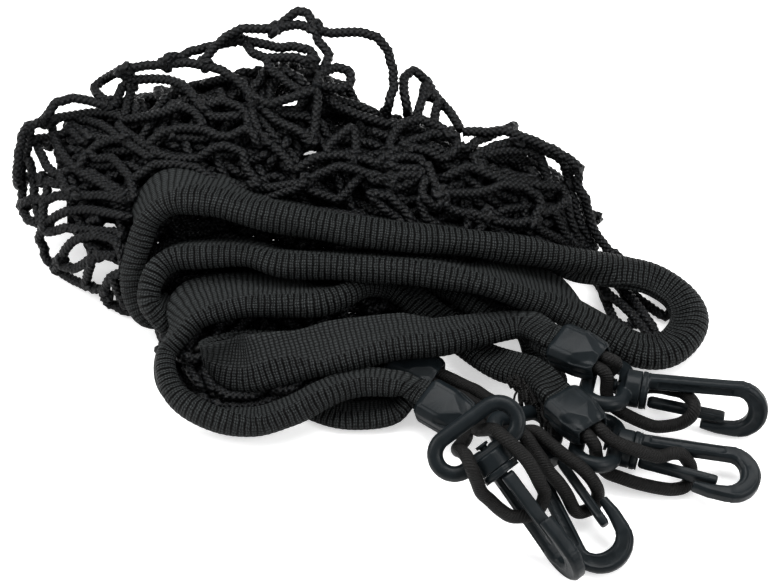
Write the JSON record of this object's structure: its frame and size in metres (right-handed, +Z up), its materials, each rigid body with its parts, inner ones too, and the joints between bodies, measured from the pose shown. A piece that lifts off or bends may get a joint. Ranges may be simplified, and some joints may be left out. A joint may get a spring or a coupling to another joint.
{
  "type": "cargo net",
  "caption": "Knotted cord cargo net bunched on its folded webbing border, with elastic loops in corner clamps and swivel snap hooks.",
  "frame": {"origin": "centre of the bounding box at the height of the surface that the heap rests on", "axes": "+Z up, +X along the longest side, towards the hooks; -Y faces the viewer"},
  "size_m": [0.332, 0.2785, 0.093],
  "materials": {
    "black_webbing": "matt ribbed knitted tape",
    "black_moulded_plastic": "satin moulded",
    "black_elastic_cord": "matt woven sheath",
    "black_net_cord": "matt braid"
  },
  "bodies": {
    "net": {"border_tape_front": "black_webbing", "border_tape_long": "black_webbing", "border_tape_inner": "black_webbing", "border_tape_rear": "black_webbing", "ferrule_1": "black_moulded_plastic", "ferrule_2": "black_moulded_plastic", "ferrule_3": "black_moulded_plastic", "ferrule_4": "black_moulded_plastic", "swivel_ring_1": "black_moulded_plastic", "swivel_ring_2": "black_moulded_plastic", "swivel_ring_3": "black_moulded_plastic", "swivel_ring_4": "black_moulded_plastic", "snap_hook_1": "black_moulded_plastic", "snap_hook_2": "black_moulded_plastic", "snap_hook_3": "black_moulded_plastic", "snap_hook_4": "black_moulded_plastic", "elastic_loop_1": "black_elastic_cord", "elastic_loop_2": "black_elastic_cord", "elastic_loop_3": "black_elastic_cord", "elastic_loop_4": "black_elastic_cord", "net_heap": "black_net_cord"},
    "tongue_1": {"gate_1": "black_moulded_plastic"},
    "tongue_2": {"gate_2": "black_moulded_plastic"},
    "tongue_3": {"gate_3": "black_moulded_plastic"},
    "tongue_4": {"gate_4": "black_moulded_plastic"}
  },
  "joints": [
    {"name": "hook_1_tongue", "type": "hinge", "parent": "net", "child": "tongue_1", "pos_m": [0.11777, -0.04844, 0.00959], "axis": [-0.2067, -0.9298, 0.3045], "range_deg": [0, 5], "stiffness_Nm_per_rad": 0.1, "springref_deg": -2.86},
    {"name": "hook_2_tongue", "type": "hinge", "parent": "net", "child": "tongue_2", "pos_m": [0.11087, -0.08206, 0.01158], "axis": [0.0538, -0.0342, 0.998], "range_deg": [0, 5], "stiffness_Nm_per_rad": 0.1, "springref_deg": -2.86},
    {"name": "hook_3_tongue", "type": "hinge", "parent": "net", "child": "tongue_3", "pos_m": [0.05352, -0.10611, 0.03392], "axis": [0.7889, 0.593, 0.1611], "range_deg": [0, 5], "stiffness_Nm_per_rad": 0.1, "springref_deg": -2.86},
    {"name": "hook_4_tongue", "type": "hinge", "parent": "net", "child": "tongue_4", "pos_m": [0.07662, -0.08768, 0.01836], "axis": [0.1617, 0.3808, -0.9104], "range_deg": [0, 5], "stiffness_Nm_per_rad": 0.1, "springref_deg": -2.86}
  ]
}
